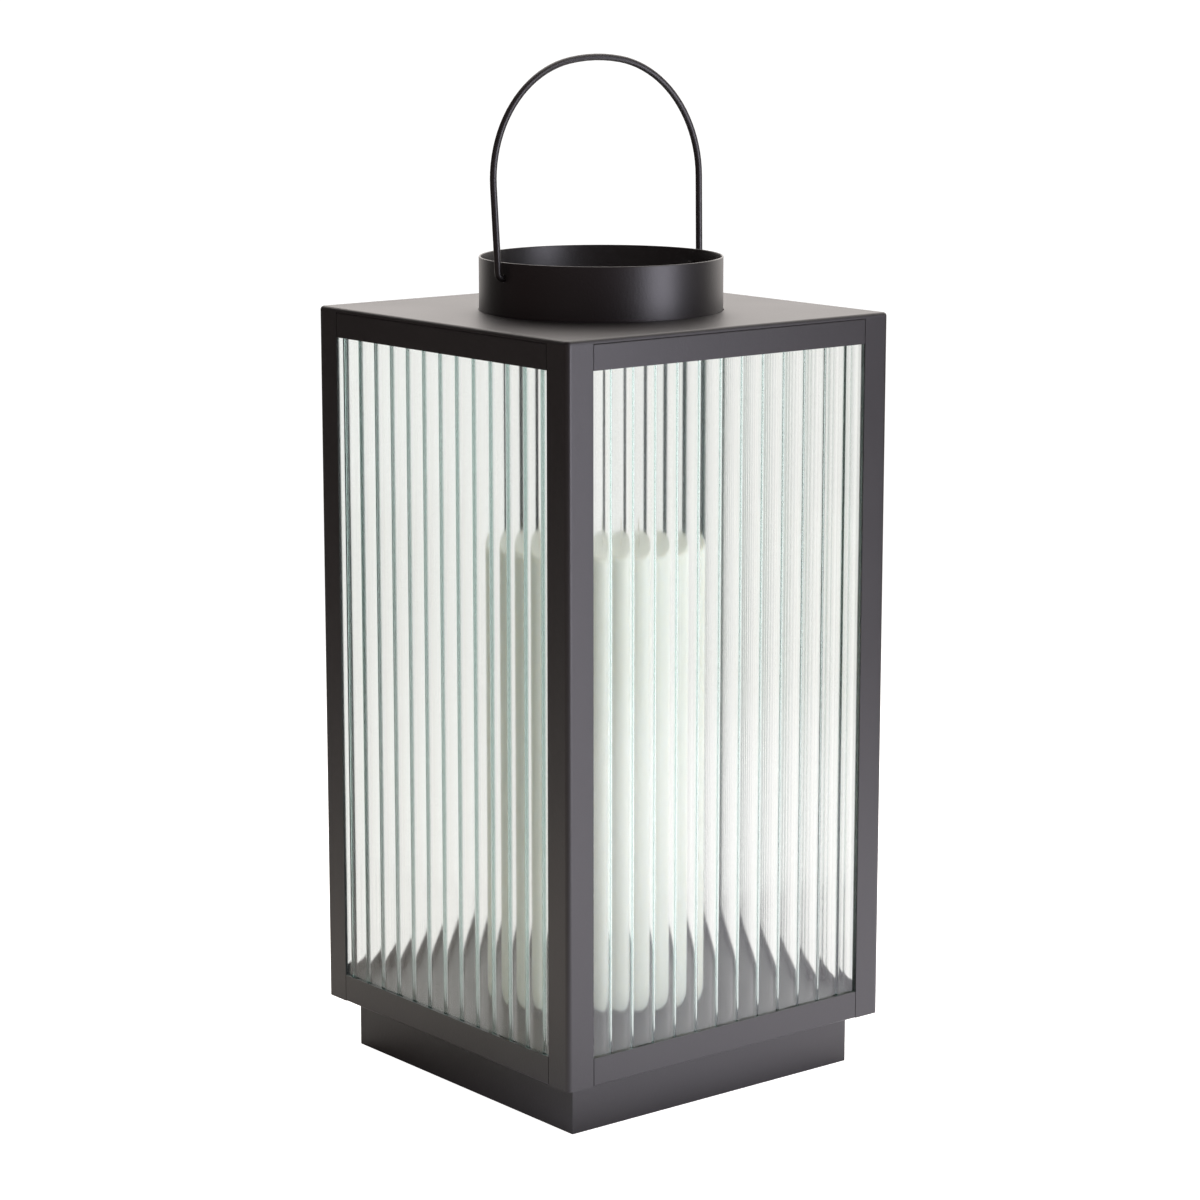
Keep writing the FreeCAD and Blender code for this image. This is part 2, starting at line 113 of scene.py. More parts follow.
# Powder coat: the roof's is a little rougher than the frame's, and the wire's peel is shallower
COAT_DARK = (0.0088, 0.0077, 0.0078, 1)
COAT_LIGHT = (0.014, 0.0122, 0.0123, 1)
COAT_CLOUD_SCALE = 14.0
COAT_CLOUD_DETAIL = 4.0
PEEL_SCALE = 900.0
PEEL_DETAIL = 2.0
PEEL_STRENGTH = 0.8
FRAME_COAT = {"smooth": 0.36, "rough": 0.43, "peel_depth": 0.05 * MM}
ROOF_COAT = {"smooth": 0.45, "rough": 0.53, "peel_depth": 0.07 * MM}
WIRE_COAT = {"smooth": 0.36, "rough": 0.43, "peel_depth": 0.01 * MM}

# Glass
GLASS_TINT = (0.97, 0.99, 0.98, 1)
GLASS_IOR = 1.5
GLASS_SMOOTH = 0.06
GLASS_ROUGH = 0.14
GLASS_DEPTH_TINT = (0.5, 0.87, 0.80, 1)
GLASS_DEPTH_DENSITY = 16.0
GLASS_SHADOW_TINT = (0.90, 0.95, 0.93, 1)
RIPPLE_SCALE = (70, 70, 8)
RIPPLE_DEPTH = 0.06 * MM

# Wax
WAX_DARK = (0.75, 0.717, 0.632, 1)
WAX_LIGHT = (0.79, 0.76, 0.684, 1)
WAX_ROUGHNESS = 0.5
WAX_MOTTLE_SCALE = 60.0
WAX_MOTTLE_DETAIL = 5.0
WAX_BUMP_STRENGTH = 0.2
WAX_BUMP_DEPTH = 0.2 * MM
WAX_SCATTER = 0.6
WAX_SCATTER_DEPTH = 6 * MM
WAX_SCATTER_COLOUR = (1.0, 0.9, 0.75)

# Cotton
COTTON_DARK = (0.55, 0.50, 0.41, 1)
COTTON_LIGHT = (0.85, 0.82, 0.74, 1)
COTTON_ROUGHNESS = 0.8
COTTON_FIBRE_SCALE = 2500.0

# Camera, solved on the corners of the box in the photograph
CAMERA_PLACE = (-1.0064121, -1.253882, 0.535689)
CAMERA_DIRECTION = (0.614328, 0.765875, -0.189832)
CAMERA_LENS = 103.171
CAMERA_SENSOR = 36.0

# Studio floor, with two painted pools of light, emitted by the floor itself, and painted shade where they
# stop short of the lantern's foot
FLOOR_RADIUS = 1.3
FLOOR_SEGMENTS = 96
FLOOR_FADE_START = 0.45
FLOOR_COLOUR = (0.75, 0.74, 0.72, 1)
FLOOR_LIFT = (0.96, 0.96, 0.96, 1)
# Painted light: each pool is an emission painted on the floor, and its shade range is painted shade near the
# lantern's foot
COOL_PAINTED_POOL = {
    "centre": (0.2, -0.45, 0), "radius": 0.6, "level": 1.8,
    "tint": (0.97, 0.95, 1.08), "shade": (0.05, 0.14),
}
WARM_PAINTED_POOL = {
    "centre": (-0.28, 0.1, 0), "radius": 0.3, "level": 0.42,
    "tint": (1.12, 0.98, 0.86), "shade": (0.13, 0.18),
}

# Studio surroundings: a bright backdrop behind the lantern, in a dark room
WHITE = (1, 1, 1, 1)
WHITE_LEVEL = 1.1
BACKDROP_BEARING = (0.74, 0.67, 0)
BACKDROP_RIGHT = (0.75, -0.66, 0)
BACKDROP_FADE_START = math.radians(25)
BACKDROP_FADE_END = math.radians(60)
BACKDROP_FOOT = 1.1
BACKDROP_TOP = 2.7
BACKDROP_FOOT_RISE = -0.1
BACKDROP_TOP_RISE = 0.15
BACKDROP_TINT = (1.06, 1.0, 0.96, 1)
ROOM_LEVEL = 0.085
ROOM_TINT = (1.4, 0.93, 0.95, 1)
FRONT_TO_BEHIND = (-0.3, 0.3)
SEEN_THROUGH_BEHIND = 0.94
SEEN_THROUGH_FRONT = 0.32
SEEN_THROUGH_SLOPE = 0.3
SEEN_THROUGH_TINT = (1.08, 1.0, 0.99, 1)
LIGHT_BOUNCES = 32

# Softboxes: the key stands at the right of the photograph's view, and only the fill makes no reflection
SOFTBOXES = {
    "key_softbox": {
        "place": (0.37, -1.15, 0.16), "aim": (0, 0, 0.16), "width": 0.55, "height": 1.5,
        "radiance": 7.0, "colour": (0.97, 0.95, 1.08), "mirrored": True,
    },
    "high_softbox": {
        "place": (0.9, -0.9, 1.5), "aim": (0, 0, 0.1), "width": 0.9, "height": 0.9,
        "radiance": 1.4, "colour": (1.02, 1.0, 0.97), "mirrored": True,
    },
    "fill_softbox": {
        "place": (-1.2, -0.3, 0.6), "aim": (0, 0, 0.2), "width": 0.8, "height": 0.8,
        "radiance": 2.2, "colour": (1.02, 1.0, 0.96), "mirrored": False,
    },
}


def start_piece():
    """Leaves nothing selected before a new primitive is added."""
    bpy.ops.object.select_all(action="DESELECT")


def take_piece(name):
    """Names the primitive that was just added, puts its place in its mesh and opens it for editing."""
    piece = bpy.context.object
    piece.name = name
    piece.data.name = name
    bpy.ops.object.transform_apply(location=True, rotation=True, scale=True)
    bpy.ops.object.mode_set(mode="EDIT")
    return piece


def merge_seams():
    """In edit mode, merges the seams of the whole piece and turns its faces outwards."""
    bpy.ops.mesh.select_all(action="SELECT")
    bpy.ops.mesh.remove_doubles(threshold=MERGE_DISTANCE)
    bpy.ops.mesh.normals_make_consistent(inside=False)


def close_piece(piece, smooth_angle):
    """Merges the seams, leaves edit mode and smooths the shading."""
    merge_seams()
    bpy.ops.object.mode_set(mode="OBJECT")
    bpy.ops.object.shade_smooth_by_angle(angle=smooth_angle)
    return piece


def near(length, other):
    """Whether two lengths are the same, apart from rounding."""
    return abs(length - other) < MERGE_DISTANCE


def pick(piece, kind, test):
    """In edit mode, selects only the vertices that pass the test, or the edges between them."""
    bpy.ops.mesh.select_mode(type=kind)
    bpy.ops.mesh.select_all(action="DESELECT")
    shape = bmesh.from_edit_mesh(piece.data)
    if kind == "VERT":
        for vertex in shape.verts:
            vertex.select_set(test(vertex.co))
    else:
        for edge in shape.edges:
            edge.select_set(all(test(vertex.co) for vertex in edge.verts))
    shape.select_flush_mode()
    bmesh.update_edit_mesh(piece.data)


def apply_modifier(piece, name):
    """Applies one modifier of a piece."""
    bpy.context.view_layer.objects.active = piece
    bpy.ops.object.modifier_apply(modifier=name)


def extrude(offset):
    """Extrudes what is selected along an offset."""
    bpy.ops.mesh.extrude_region_move(TRANSFORM_OT_translate={"value": offset})


def ring_step(rise, radius_from, radius_to):
    """Extrudes the selected ring upwards and to another radius about the upright axis."""
    extrude((0, 0, rise))
    growth = radius_to / radius_from
    bpy.ops.transform.resize(value=(growth, growth, 1), center_override=(0, 0, 0))


def fluted_pane():
    """The front pane: flat outside, hollow flutes inside with rounded ridges between them."""
    low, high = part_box("glass_pane_front")
    height = high.z - low.z
    slope = 2 * math.atan(2 * FLUTE_DEPTH / FLUTE_PITCH)
    flute_radius = FLUTE_PITCH / 2 / math.sin(slope) - RIDGE_RADIUS
    flute_half = flute_radius * math.sin(slope)
    edge_y = high.y - RIDGE_RADIUS * (1 - math.cos(slope))
    reach = (high.x - low.x) / 2 + FLUTE_PITCH
    flutes_left = math.ceil((reach + FLUTE_OFFSET) / FLUTE_PITCH)
    flutes_right = math.ceil((reach - FLUTE_OFFSET) / FLUTE_PITCH)
    first_x = FLUTE_OFFSET - flutes_left * FLUTE_PITCH
    start_x = first_x - flute_half
    ridge_x = first_x + FLUTE_PITCH / 2

    # An upright edge is spun round a flute and then, the other way, round the ridge after it
    start_piece()
    bpy.ops.mesh.primitive_plane_add(size=height, location=(start_x, edge_y, low.z + height / 2),
                                     rotation=(math.pi / 2, 0, 0))
    pane = take_piece("fluted_glass_front")
    pick(pane, "VERT", lambda place: place.x > start_x)
    bpy.ops.mesh.delete(type="VERT")
    bpy.ops.mesh.select_all(action="SELECT")
    bpy.ops.transform.translate(value=(height / 2, 0, 0))
    bpy.ops.mesh.spin(steps=FLUTE_STEPS, angle=2 * slope, axis=(0, 0, -1),
                      center=(first_x, edge_y + flute_radius * math.cos(slope), 0))
    bpy.ops.mesh.spin(steps=RIDGE_STEPS, angle=2 * slope, axis=(0, 0, 1),
                      center=(ridge_x, edge_y - RIDGE_RADIUS * math.cos(slope), 0))
    bpy.ops.object.mode_set(mode="OBJECT")

    row = pane.modifiers.new("row", "ARRAY")
    row.count = flutes_left + flutes_right + 1
    row.use_relative_offset = False
    row.use_constant_offset = True
    row.constant_offset_displace = (FLUTE_PITCH, 0, 0)
    row.use_merge_vertices = True
    row.merge_threshold = JOIN_DISTANCE
    apply_modifier(pane, "row")

    # The row is cut to the pane's width and drawn out to the flat outer face
    bpy.ops.object.mode_set(mode="EDIT")
    for edge_x, outwards in ((low.x, -1), (high.x, 1)):
        bpy.ops.mesh.select_all(action="SELECT")
        bpy.ops.mesh.bisect(plane_co=(edge_x, 0, 0), plane_no=(outwards, 0, 0), clear_outer=True)
    bpy.ops.mesh.select_all(action="SELECT")
    extrude((0, low.y - high.y, 0))
    bpy.ops.transform.resize(value=(1, 0, 1), center_override=(0, low.y, 0))
    return close_piece(pane, PANE_SMOOTH_ANGLE)


def turned_copy(piece, name, turn):
    """A copy of the piece, with a mesh of its own, turned about the lantern's axis."""
    twin = piece.copy()
    twin.data = piece.data.copy()
    twin.name = name
    twin.data.name = name
    twin.data.transform(Matrix.Rotation(math.radians(turn), 4, "Z"))
    bpy.context.scene.collection.objects.link(twin)
    return twin


def hinge_level():
    """The height of the line that the bail swings about."""
    hinge = next(joint for joint in frame["joints"] if joint["name"] == "bail_swing")
    return hinge["pos_m"][2]


def drill_bail_holes(ring):
    """Pierces the collar's wall on both sides, where the bail turns in it."""
    start_piece()
    bpy.ops.mesh.primitive_cylinder_add(vertices=HOLE_SEGMENTS, radius=BAIL_HOLE_RADIUS, depth=DRILL_LENGTH,
                                        location=(0, 0, hinge_level()), rotation=(0, math.pi / 2, 0))
    drill = bpy.context.object
    holes = ring.modifiers.new("bail_holes", "BOOLEAN")
    holes.object = drill
    holes.operation = "DIFFERENCE"
    holes.solver = "EXACT"
    apply_modifier(ring, "bail_holes")
    bpy.data.objects.remove(drill)


def collar_ring():
    """The ring on the roof: a flange under the roof, a thin wall and a rounded rim, pierced for the bail."""
    low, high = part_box("collar")
    flange_radius = high.x
    bore = COLLAR_RADIUS - COLLAR_WALL
    start_piece()
    bpy.ops.mesh.primitive_circle_add(vertices=COLLAR_SEGMENTS, radius=bore, location=(0, 0, low.z))
    ring = take_piece("collar_ring")
    ring_step(0, bore, flange_radius)
    ring_step(COLLAR_WALL, flange_radius, flange_radius)
    ring_step(0, flange_radius, COLLAR_RADIUS)
    ring_step(high.z - low.z - COLLAR_WALL, COLLAR_RADIUS, COLLAR_RADIUS)
    ring_step(0, COLLAR_RADIUS, bore)
    ring_step(low.z - high.z, bore, bore)
    merge_seams()
    pick(ring, "EDGE", lambda place: near(place.z, high.z))
    bpy.ops.mesh.region_to_loop()
    bpy.ops.mesh.bevel(offset=RIM_ROUNDING, segments=RIM_SEGMENTS, affect="EDGES")
    bpy.ops.object.mode_set(mode="OBJECT")
    drill_bail_holes(ring)
    start_piece()
    ring.select_set(True)
    bpy.ops.object.shade_smooth_by_angle(angle=COLLAR_SMOOTH_ANGLE)
    return ring


def sweep_wire(turn, steps, centre_x, centre_z):
    """Sweeps the wire's open end round an arc in its upright plane."""
    bpy.ops.mesh.spin(steps=steps, angle=turn, axis=(0, 1, 0), center=(centre_x, 0, centre_z))


def arch_steps(turn):
    """The number of steps in an arc of the bail's arch."""
    return int(ARCH_STEPS_PER_TURN * turn / math.tau) + 1


def bail_wire():
    """The bail: a wire that turns in the collar, bends up outside it and arches over to the other side."""
    level = hinge_level()
    pin_end = COLLAR_RADIUS - COLLAR_WALL - PIN_STUB
    bend_x = COLLAR_RADIUS + BAIL_SIDE_GAP
    shoulder_radius = COLLAR_RADIUS + BAIL_OVERHANG - SHOULDER_OFFSET
    crown_radius = shoulder_radius + CROWN_GAIN
    crown_z = level + BAIL_RISE - crown_radius
    shoulder_rise = math.sqrt(CROWN_GAIN**2 - SHOULDER_OFFSET**2)
    shoulder_z = crown_z + shoulder_rise
    leg_rise = shoulder_z - level - BEND_RADIUS
    leg_lean = math.atan2(SHOULDER_OFFSET + shoulder_radius - bend_x - BEND_RADIUS, leg_rise)
    bend_turn = math.pi / 2 - leg_lean
    meeting = math.atan2(shoulder_rise, SHOULDER_OFFSET)
    shoulder_turn = meeting + leg_lean
    crown_turn = math.pi / 2 - meeting
    leg_foot = Vector((
        bend_x + BEND_RADIUS * math.sin(bend_turn),
        0,
        level + BEND_RADIUS * (1 - math.cos(bend_turn)),
    ))
    leg_head = Vector((
        SHOULDER_OFFSET + shoulder_radius * math.cos(leg_lean),
        0,
        shoulder_z - shoulder_radius * math.sin(leg_lean),
    ))

    # Half of the wire, from its end inside the collar to the middle of the crown
    start_piece()
    bpy.ops.mesh.primitive_circle_add(vertices=WIRE_SEGMENTS, radius=WIRE_RADIUS, fill_type="NGON",
                                      location=(pin_end, 0, level), rotation=(0, math.pi / 2, 0))
    wire = take_piece("bail_wire")
    extrude((bend_x - pin_end, 0, 0))
    sweep_wire(bend_turn, BEND_STEPS, bend_x, level + BEND_RADIUS)
    extrude(leg_head - leg_foot)
    sweep_wire(shoulder_turn, arch_steps(shoulder_turn), SHOULDER_OFFSET, shoulder_z)
    sweep_wire(crown_turn, arch_steps(crown_turn), 0, crown_z)
    bpy.ops.mesh.delete(type="ONLY_FACE")
    pick(wire, "EDGE", lambda place: near(place.x, pin_end))
    bpy.ops.mesh.bevel(offset=WIRE_END_ROUNDING, segments=WIRE_END_SEGMENTS, affect="EDGES")
    bpy.ops.object.mode_set(mode="OBJECT")

    twin = wire.modifiers.new("other_half", "MIRROR")
    twin.use_axis = (True, False, False)
    twin.merge_threshold = JOIN_DISTANCE
    apply_modifier(wire, "other_half")
    bpy.ops.object.mode_set(mode="EDIT")
    bpy.ops.mesh.select_all(action="SELECT")
    bpy.ops.transform.rotate(value=BAIL_LEAN, orient_axis="X", center_override=(0, 0, level))
    return close_piece(wire, WIRE_SMOOTH_ANGLE)


def candle_pillar():
    """The pillar candle: straight sides, softened edges, a shallow dish on top and a hole for the wick."""
    low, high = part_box("candle_body")
    radius = high.x
    start_piece()
    bpy.ops.mesh.primitive_circle_add(vertices=CANDLE_SEGMENTS, radius=WICK_HOLE_RADIUS,
                                      location=(0, 0, low.z))
    candle = take_piece("candle_pillar")
    ring_step(0, WICK_HOLE_RADIUS, radius)
    for _ in range(CANDLE_RISES):
        ring_step((high.z - low.z) / CANDLE_RISES, radius, radius)
    ring_step(0, radius, CANDLE_DISH_RADIUS)
    ring_step(-CANDLE_DISH_DEPTH, CANDLE_DISH_RADIUS, WICK_HOLE_RADIUS)
    ring_step(low.z - high.z + CANDLE_DISH_DEPTH, WICK_HOLE_RADIUS, WICK_HOLE_RADIUS)
    merge_seams()
    for level, rounding in ((high.z, CANDLE_SHOULDER), (low.z, CANDLE_FOOT)):
        pick(candle, "EDGE", lambda place: near(place.z, level) and near(place.xy.length, radius))
        bpy.ops.mesh.bevel(offset=rounding, segments=CANDLE_EDGE_SEGMENTS, affect="EDGES")
    return close_piece(candle, CANDLE_SMOOTH_ANGLE)


def candle_wick():
    """The wick: three strands twisted together, from the candle's foot to above its top."""
    low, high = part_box("candle_wick")
    start_piece()
    bpy.ops.mesh.primitive_circle_add(vertices=WICK_SEGMENTS, radius=WICK_RADIUS, fill_type="NGON",
                                      location=(0, 0, low.z))
    wick = take_piece("wick_twist")
    shape = bmesh.from_edit_mesh(wick.data)
    for vertex in shape.verts:
        bearing = math.atan2(vertex.co.y, vertex.co.x)
        vertex.co.xy *= WICK_STRAND_MEAN + WICK_STRAND_SWELL * math.cos(WICK_STRANDS * bearing)
    bmesh.update_edit_mesh(wick.data)
    for _ in range(WICK_RISES):
        extrude((0, 0, (high.z - low.z) / WICK_RISES))
        bpy.ops.transform.rotate(value=WICK_TWIST_PER_RISE, orient_axis="Z", center_override=(0, 0, 0))
    return close_piece(wick, WICK_SMOOTH_ANGLE)


def set_inputs(tree, node, inputs):
    """Links each input to another node's output, or sets the input's own value."""
    for name, source in inputs.items():
        if isinstance(source, bpy.types.NodeSocket):
            tree.links.new(source, node.inputs[name])
        else:
            node.inputs[name].default_value = source


def add_node(tree, kind, inputs=None, **options):
    """Adds a node to a tree, with its options and its inputs."""
    node = tree.nodes.new(kind)
    for name, value in options.items():
        setattr(node, name, value)
    set_inputs(tree, node, inputs or {})
    return node


def mix(tree, kind, factor, first, second):
    """Goes from one value or colour to another."""
    node = add_node(tree, "ShaderNodeMix", {"Factor": factor, "A": first, "B": second}, data_type=kind)
    return node.outputs["Result"]


def soft_step(tree, value, start, stop, low, high):
    """Goes smoothly from a low to a high level while a value goes from start to stop."""
    span = {"Value": value, "From Min": start, "From Max": stop, "To Min": low, "To Max": high}
    return add_node(tree, "ShaderNodeMapRange", span, interpolation_type="SMOOTHSTEP").outputs["Result"]


def new_material(name):
    """An empty node material, its tree, and its Principled shader wired to its output."""
    material = bpy.data.materials.new(name)
    material.use_nodes = True
    tree = material.node_tree
    tree.nodes.clear()
    shader = add_node(tree, "ShaderNodeBsdfPrincipled")
    output = add_node(tree, "ShaderNodeOutputMaterial", {"Surface": shader.outputs["BSDF"]})
    return material, tree, shader, output


def coat_group():
    """Powder coat: a fine orange peel and broad soft changes of tone and gloss, on Object coordinates."""
    group = bpy.data.node_groups.new("coat_texture", "ShaderNodeTree")
    for name in ("Dark", "Light"):
        group.interface.new_socket(name=name, in_out="INPUT", socket_type="NodeSocketColor")
    for name in ("Smooth", "Rough", "Peel Scale"):
        group.interface.new_socket(name=name, in_out="INPUT", socket_type="NodeSocketFloat")
    group.interface.new_socket(name="Color", in_out="OUTPUT", socket_type="NodeSocketColor")
    for name in ("Roughness", "Height"):
        group.interface.new_socket(name=name, in_out="OUTPUT", socket_type="NodeSocketFloat")

    given = add_node(group, "NodeGroupInput")
    place = add_node(group, "ShaderNodeTexCoord")
    cloud = add_node(group, "ShaderNodeTexNoise", {
        "Vector": place.outputs["Object"],
        "Scale": COAT_CLOUD_SCALE,
        "Detail": COAT_CLOUD_DETAIL,
    })
    peel = add_node(group, "ShaderNodeTexNoise", {
        "Vector": place.outputs["Object"],
        "Scale": given.outputs["Peel Scale"],
        "Detail": PEEL_DETAIL,
    })
    cover = cloud.outputs["Fac"]
    add_node(group, "NodeGroupOutput", {
        "Color": mix(group, "RGBA", cover, given.outputs["Dark"], given.outputs["Light"]),
        "Roughness": mix(group, "FLOAT", cover, given.outputs["Smooth"], given.outputs["Rough"]),
        "Height": peel.outputs["Fac"],
    })
    return group


def coat_material(name, group, smooth, rough, peel_depth):
    """Satin black powder coat."""
    material, tree, shader, _ = new_material(name)
    coat = add_node(tree, "ShaderNodeGroup", {
        "Dark": COAT_DARK,
        "Light": COAT_LIGHT,
        "Smooth": smooth,
        "Rough": rough,
        "Peel Scale": PEEL_SCALE,
    }, node_tree=group)
    bump = add_node(tree, "ShaderNodeBump", {
        "Strength": PEEL_STRENGTH,
        "Distance": peel_depth,
        "Height": coat.outputs["Height"],
    })
    set_inputs(tree, shader, {
        "Base Color": coat.outputs["Color"],
        "Roughness": coat.outputs["Roughness"],
        "Normal": bump.outputs["Normal"],
    })
    return material


def glass_material():
    """Clear pressed glass, faintly green in its depth, with slight ripples drawn out along the flutes."""
    material, tree, shader, output = new_material("fluted_glass")
    place = add_node(tree, "ShaderNodeTexCoord")
    along = add_node(tree, "ShaderNodeMapping", {"Vector": place.outputs["Object"], "Scale": RIPPLE_SCALE})
    ripple = add_node(tree, "ShaderNodeTexNoise", {"Vector": along.outputs["Vector"], "Scale": 1.0})
    polish = add_node(tree, "ShaderNodeMapRange", {
        "Value": ripple.outputs["Fac"],
        "To Min": GLASS_SMOOTH,
        "To Max": GLASS_ROUGH,
    })
    bump = add_node(tree, "ShaderNodeBump", {
        "Strength": 1.0,
        "Distance": RIPPLE_DEPTH,
        "Height": ripple.outputs["Fac"],
    })
    set_inputs(tree, shader, {
        "Base Color": GLASS_TINT,
        "Roughness": polish.outputs["Result"],
        "IOR": GLASS_IOR,
        "Transmission Weight": 1.0,
        "Normal": bump.outputs["Normal"],
    })

    # Light on its way from a lamp passes straight through, a little dimmed
    path = add_node(tree, "ShaderNodeLightPath")
    dimmed = add_node(tree, "ShaderNodeBsdfTransparent", {"Color": GLASS_SHADOW_TINT})
    surface = add_node(tree, "ShaderNodeMixShader", {
        "Fac": path.outputs["Is Shadow Ray"],
        1: shader.outputs["BSDF"],
        2: dimmed.outputs["BSDF"],
    })
    depth = add_node(tree, "ShaderNodeVolumeAbsorption", {
        "Color": GLASS_DEPTH_TINT,
        "Density": GLASS_DEPTH_DENSITY,
    })
    set_inputs(tree, output, {"Surface": surface.outputs["Shader"], "Volume": depth.outputs["Volume"]})
    return material


def wax_material():
    """Ivory wax that lets light a little way in."""
    material, tree, shader, _ = new_material("candle_wax")
    place = add_node(tree, "ShaderNodeTexCoord")
    mottle = add_node(tree, "ShaderNodeTexNoise", {
        "Vector": place.outputs["Object"],
        "Scale": WAX_MOTTLE_SCALE,
        "Detail": WAX_MOTTLE_DETAIL,
    })
    bump = add_node(tree, "ShaderNodeBump", {
        "Strength": WAX_BUMP_STRENGTH,
        "Distance": WAX_BUMP_DEPTH,
        "Height": mottle.outputs["Fac"],
    })
    set_inputs(tree, shader, {
        "Base Color": mix(tree, "RGBA", mottle.outputs["Fac"], WAX_DARK, WAX_LIGHT),
        "Roughness": WAX_ROUGHNESS,
        "Normal": bump.outputs["Normal"],
        "Subsurface Weight": WAX_SCATTER,
        "Subsurface Radius": WAX_SCATTER_COLOUR,
        "Subsurface Scale": WAX_SCATTER_DEPTH,
    })
    return material


def wick_material():
    """Waxed cotton, mottled by fine fibres."""
    material, tree, shader, _ = new_material("wick_cotton")
    place = add_node(tree, "ShaderNodeTexCoord")
    fibre = add_node(tree, "ShaderNodeTexNoise", {
        "Vector": place.outputs["Object"],
        "Scale": COTTON_FIBRE_SCALE,
    })
    set_inputs(tree, shader, {
        "Base Color": mix(tree, "RGBA", fibre.outputs["Fac"], COTTON_DARK, COTTON_LIGHT),
        "Roughness": COTTON_ROUGHNESS,
    })
    return material


def dress(piece, material):
    """Gives the whole piece one material."""
    piece.data.materials.clear()
    piece.data.materials.append(material)


def softbox(name, place, aim, width, height, radiance, colour, mirrored):
    """A soft rectangular lamp that may show in reflections but not to the camera or through the glass."""
    bpy.ops.object.light_add(type="AREA", location=place)
    lamp = bpy.context.object
    lamp.name = name
    lamp.data.shape = "RECTANGLE"
    lamp.data.size = width
    lamp.data.size_y = height
    lamp.data.energy = radiance * math.pi * width * height
    lamp.data.color = colour
    lamp.rotation_euler = (Vector(aim) - lamp.location).to_track_quat("-Z", "Y").to_euler()
    lamp.visible_camera = False
    lamp.visible_transmission = False
    lamp.visible_glossy = mirrored


def painted_light_pool(tree, place, from_foot, centre, radius, level, tint, shade):
    """Painted light on the floor: an emitted pool that fades out round its centre, and painted shade that
    fades it out towards the lantern's foot.
    """
    away = add_node(tree, "ShaderNodeVectorMath", {0: place, 1: centre}, operation="DISTANCE")
    bright = add_node(tree, "ShaderNodeMath", {
        0: soft_step(tree, away.outputs["Value"], radius / 2, radius, level, 0),
        1: soft_step(tree, from_foot, *shade, 0, 1),
    }, operation="MULTIPLY")
    tinted = add_node(tree, "ShaderNodeVectorMath", {0: tint, "Scale": bright.outputs["Value"]},
                      operation="SCALE")
    return tinted.outputs["Vector"]


def floor_material():
    """White to the camera; to other rays it glows with the two painted pools of light; clear towards the
    floor's edge.
    """
    material, tree, shader, output = new_material("studio_white")
    place = add_node(tree, "ShaderNodeTexCoord").outputs["Object"]
    size = add_node(tree, "ShaderNodeVectorMath", {0: place}, operation="ABSOLUTE")
    sides = add_node(tree, "ShaderNodeSeparateXYZ", {0: size.outputs["Vector"]})
    from_foot = add_node(tree, "ShaderNodeMath", {0: sides.outputs["X"], 1: sides.outputs["Y"]},
                         operation="MAXIMUM").outputs["Value"]
    # The floor's emission paints two pools of light, with painted shade by the lantern's foot
    painted_pools = add_node(tree, "ShaderNodeVectorMath", {
        0: painted_light_pool(tree, place, from_foot, **COOL_PAINTED_POOL),
        1: painted_light_pool(tree, place, from_foot, **WARM_PAINTED_POOL),
    }, operation="ADD")
    path = add_node(tree, "ShaderNodeLightPath")
    glow = mix(tree, "RGBA", path.outputs["Is Camera Ray"], painted_pools.outputs["Vector"], FLOOR_LIFT)
    set_inputs(tree, shader, {
        "Base Color": FLOOR_COLOUR,
        "Roughness": 1.0,
        "Specular IOR Level": 0.0,
        "Emission Color": glow,
        "Emission Strength": 1.0,
    })

    distance = add_node(tree, "ShaderNodeVectorMath", {0: place}, operation="LENGTH")
    clear = add_node(tree, "ShaderNodeBsdfTransparent")
    surface = add_node(tree, "ShaderNodeMixShader", {
        "Fac": soft_step(tree, distance.outputs["Value"], FLOOR_FADE_START, FLOOR_RADIUS, 0, 1),
        1: shader.outputs["BSDF"],
        2: clear.outputs["BSDF"],
    })
    set_inputs(tree, output, {"Surface": surface.outputs["Shader"]})
    return material


def studio_floor():
    """A white disc that fades out towards its edge."""
    start_piece()
    bpy.ops.mesh.primitive_circle_add(vertices=FLOOR_SEGMENTS, radius=FLOOR_RADIUS, fill_type="NGON",
                                      location=(0, 0, 0))
    floor = bpy.context.object
    floor.name = "studio_floor"
    dress(floor, floor_material())
    floor.visible_transmission = False


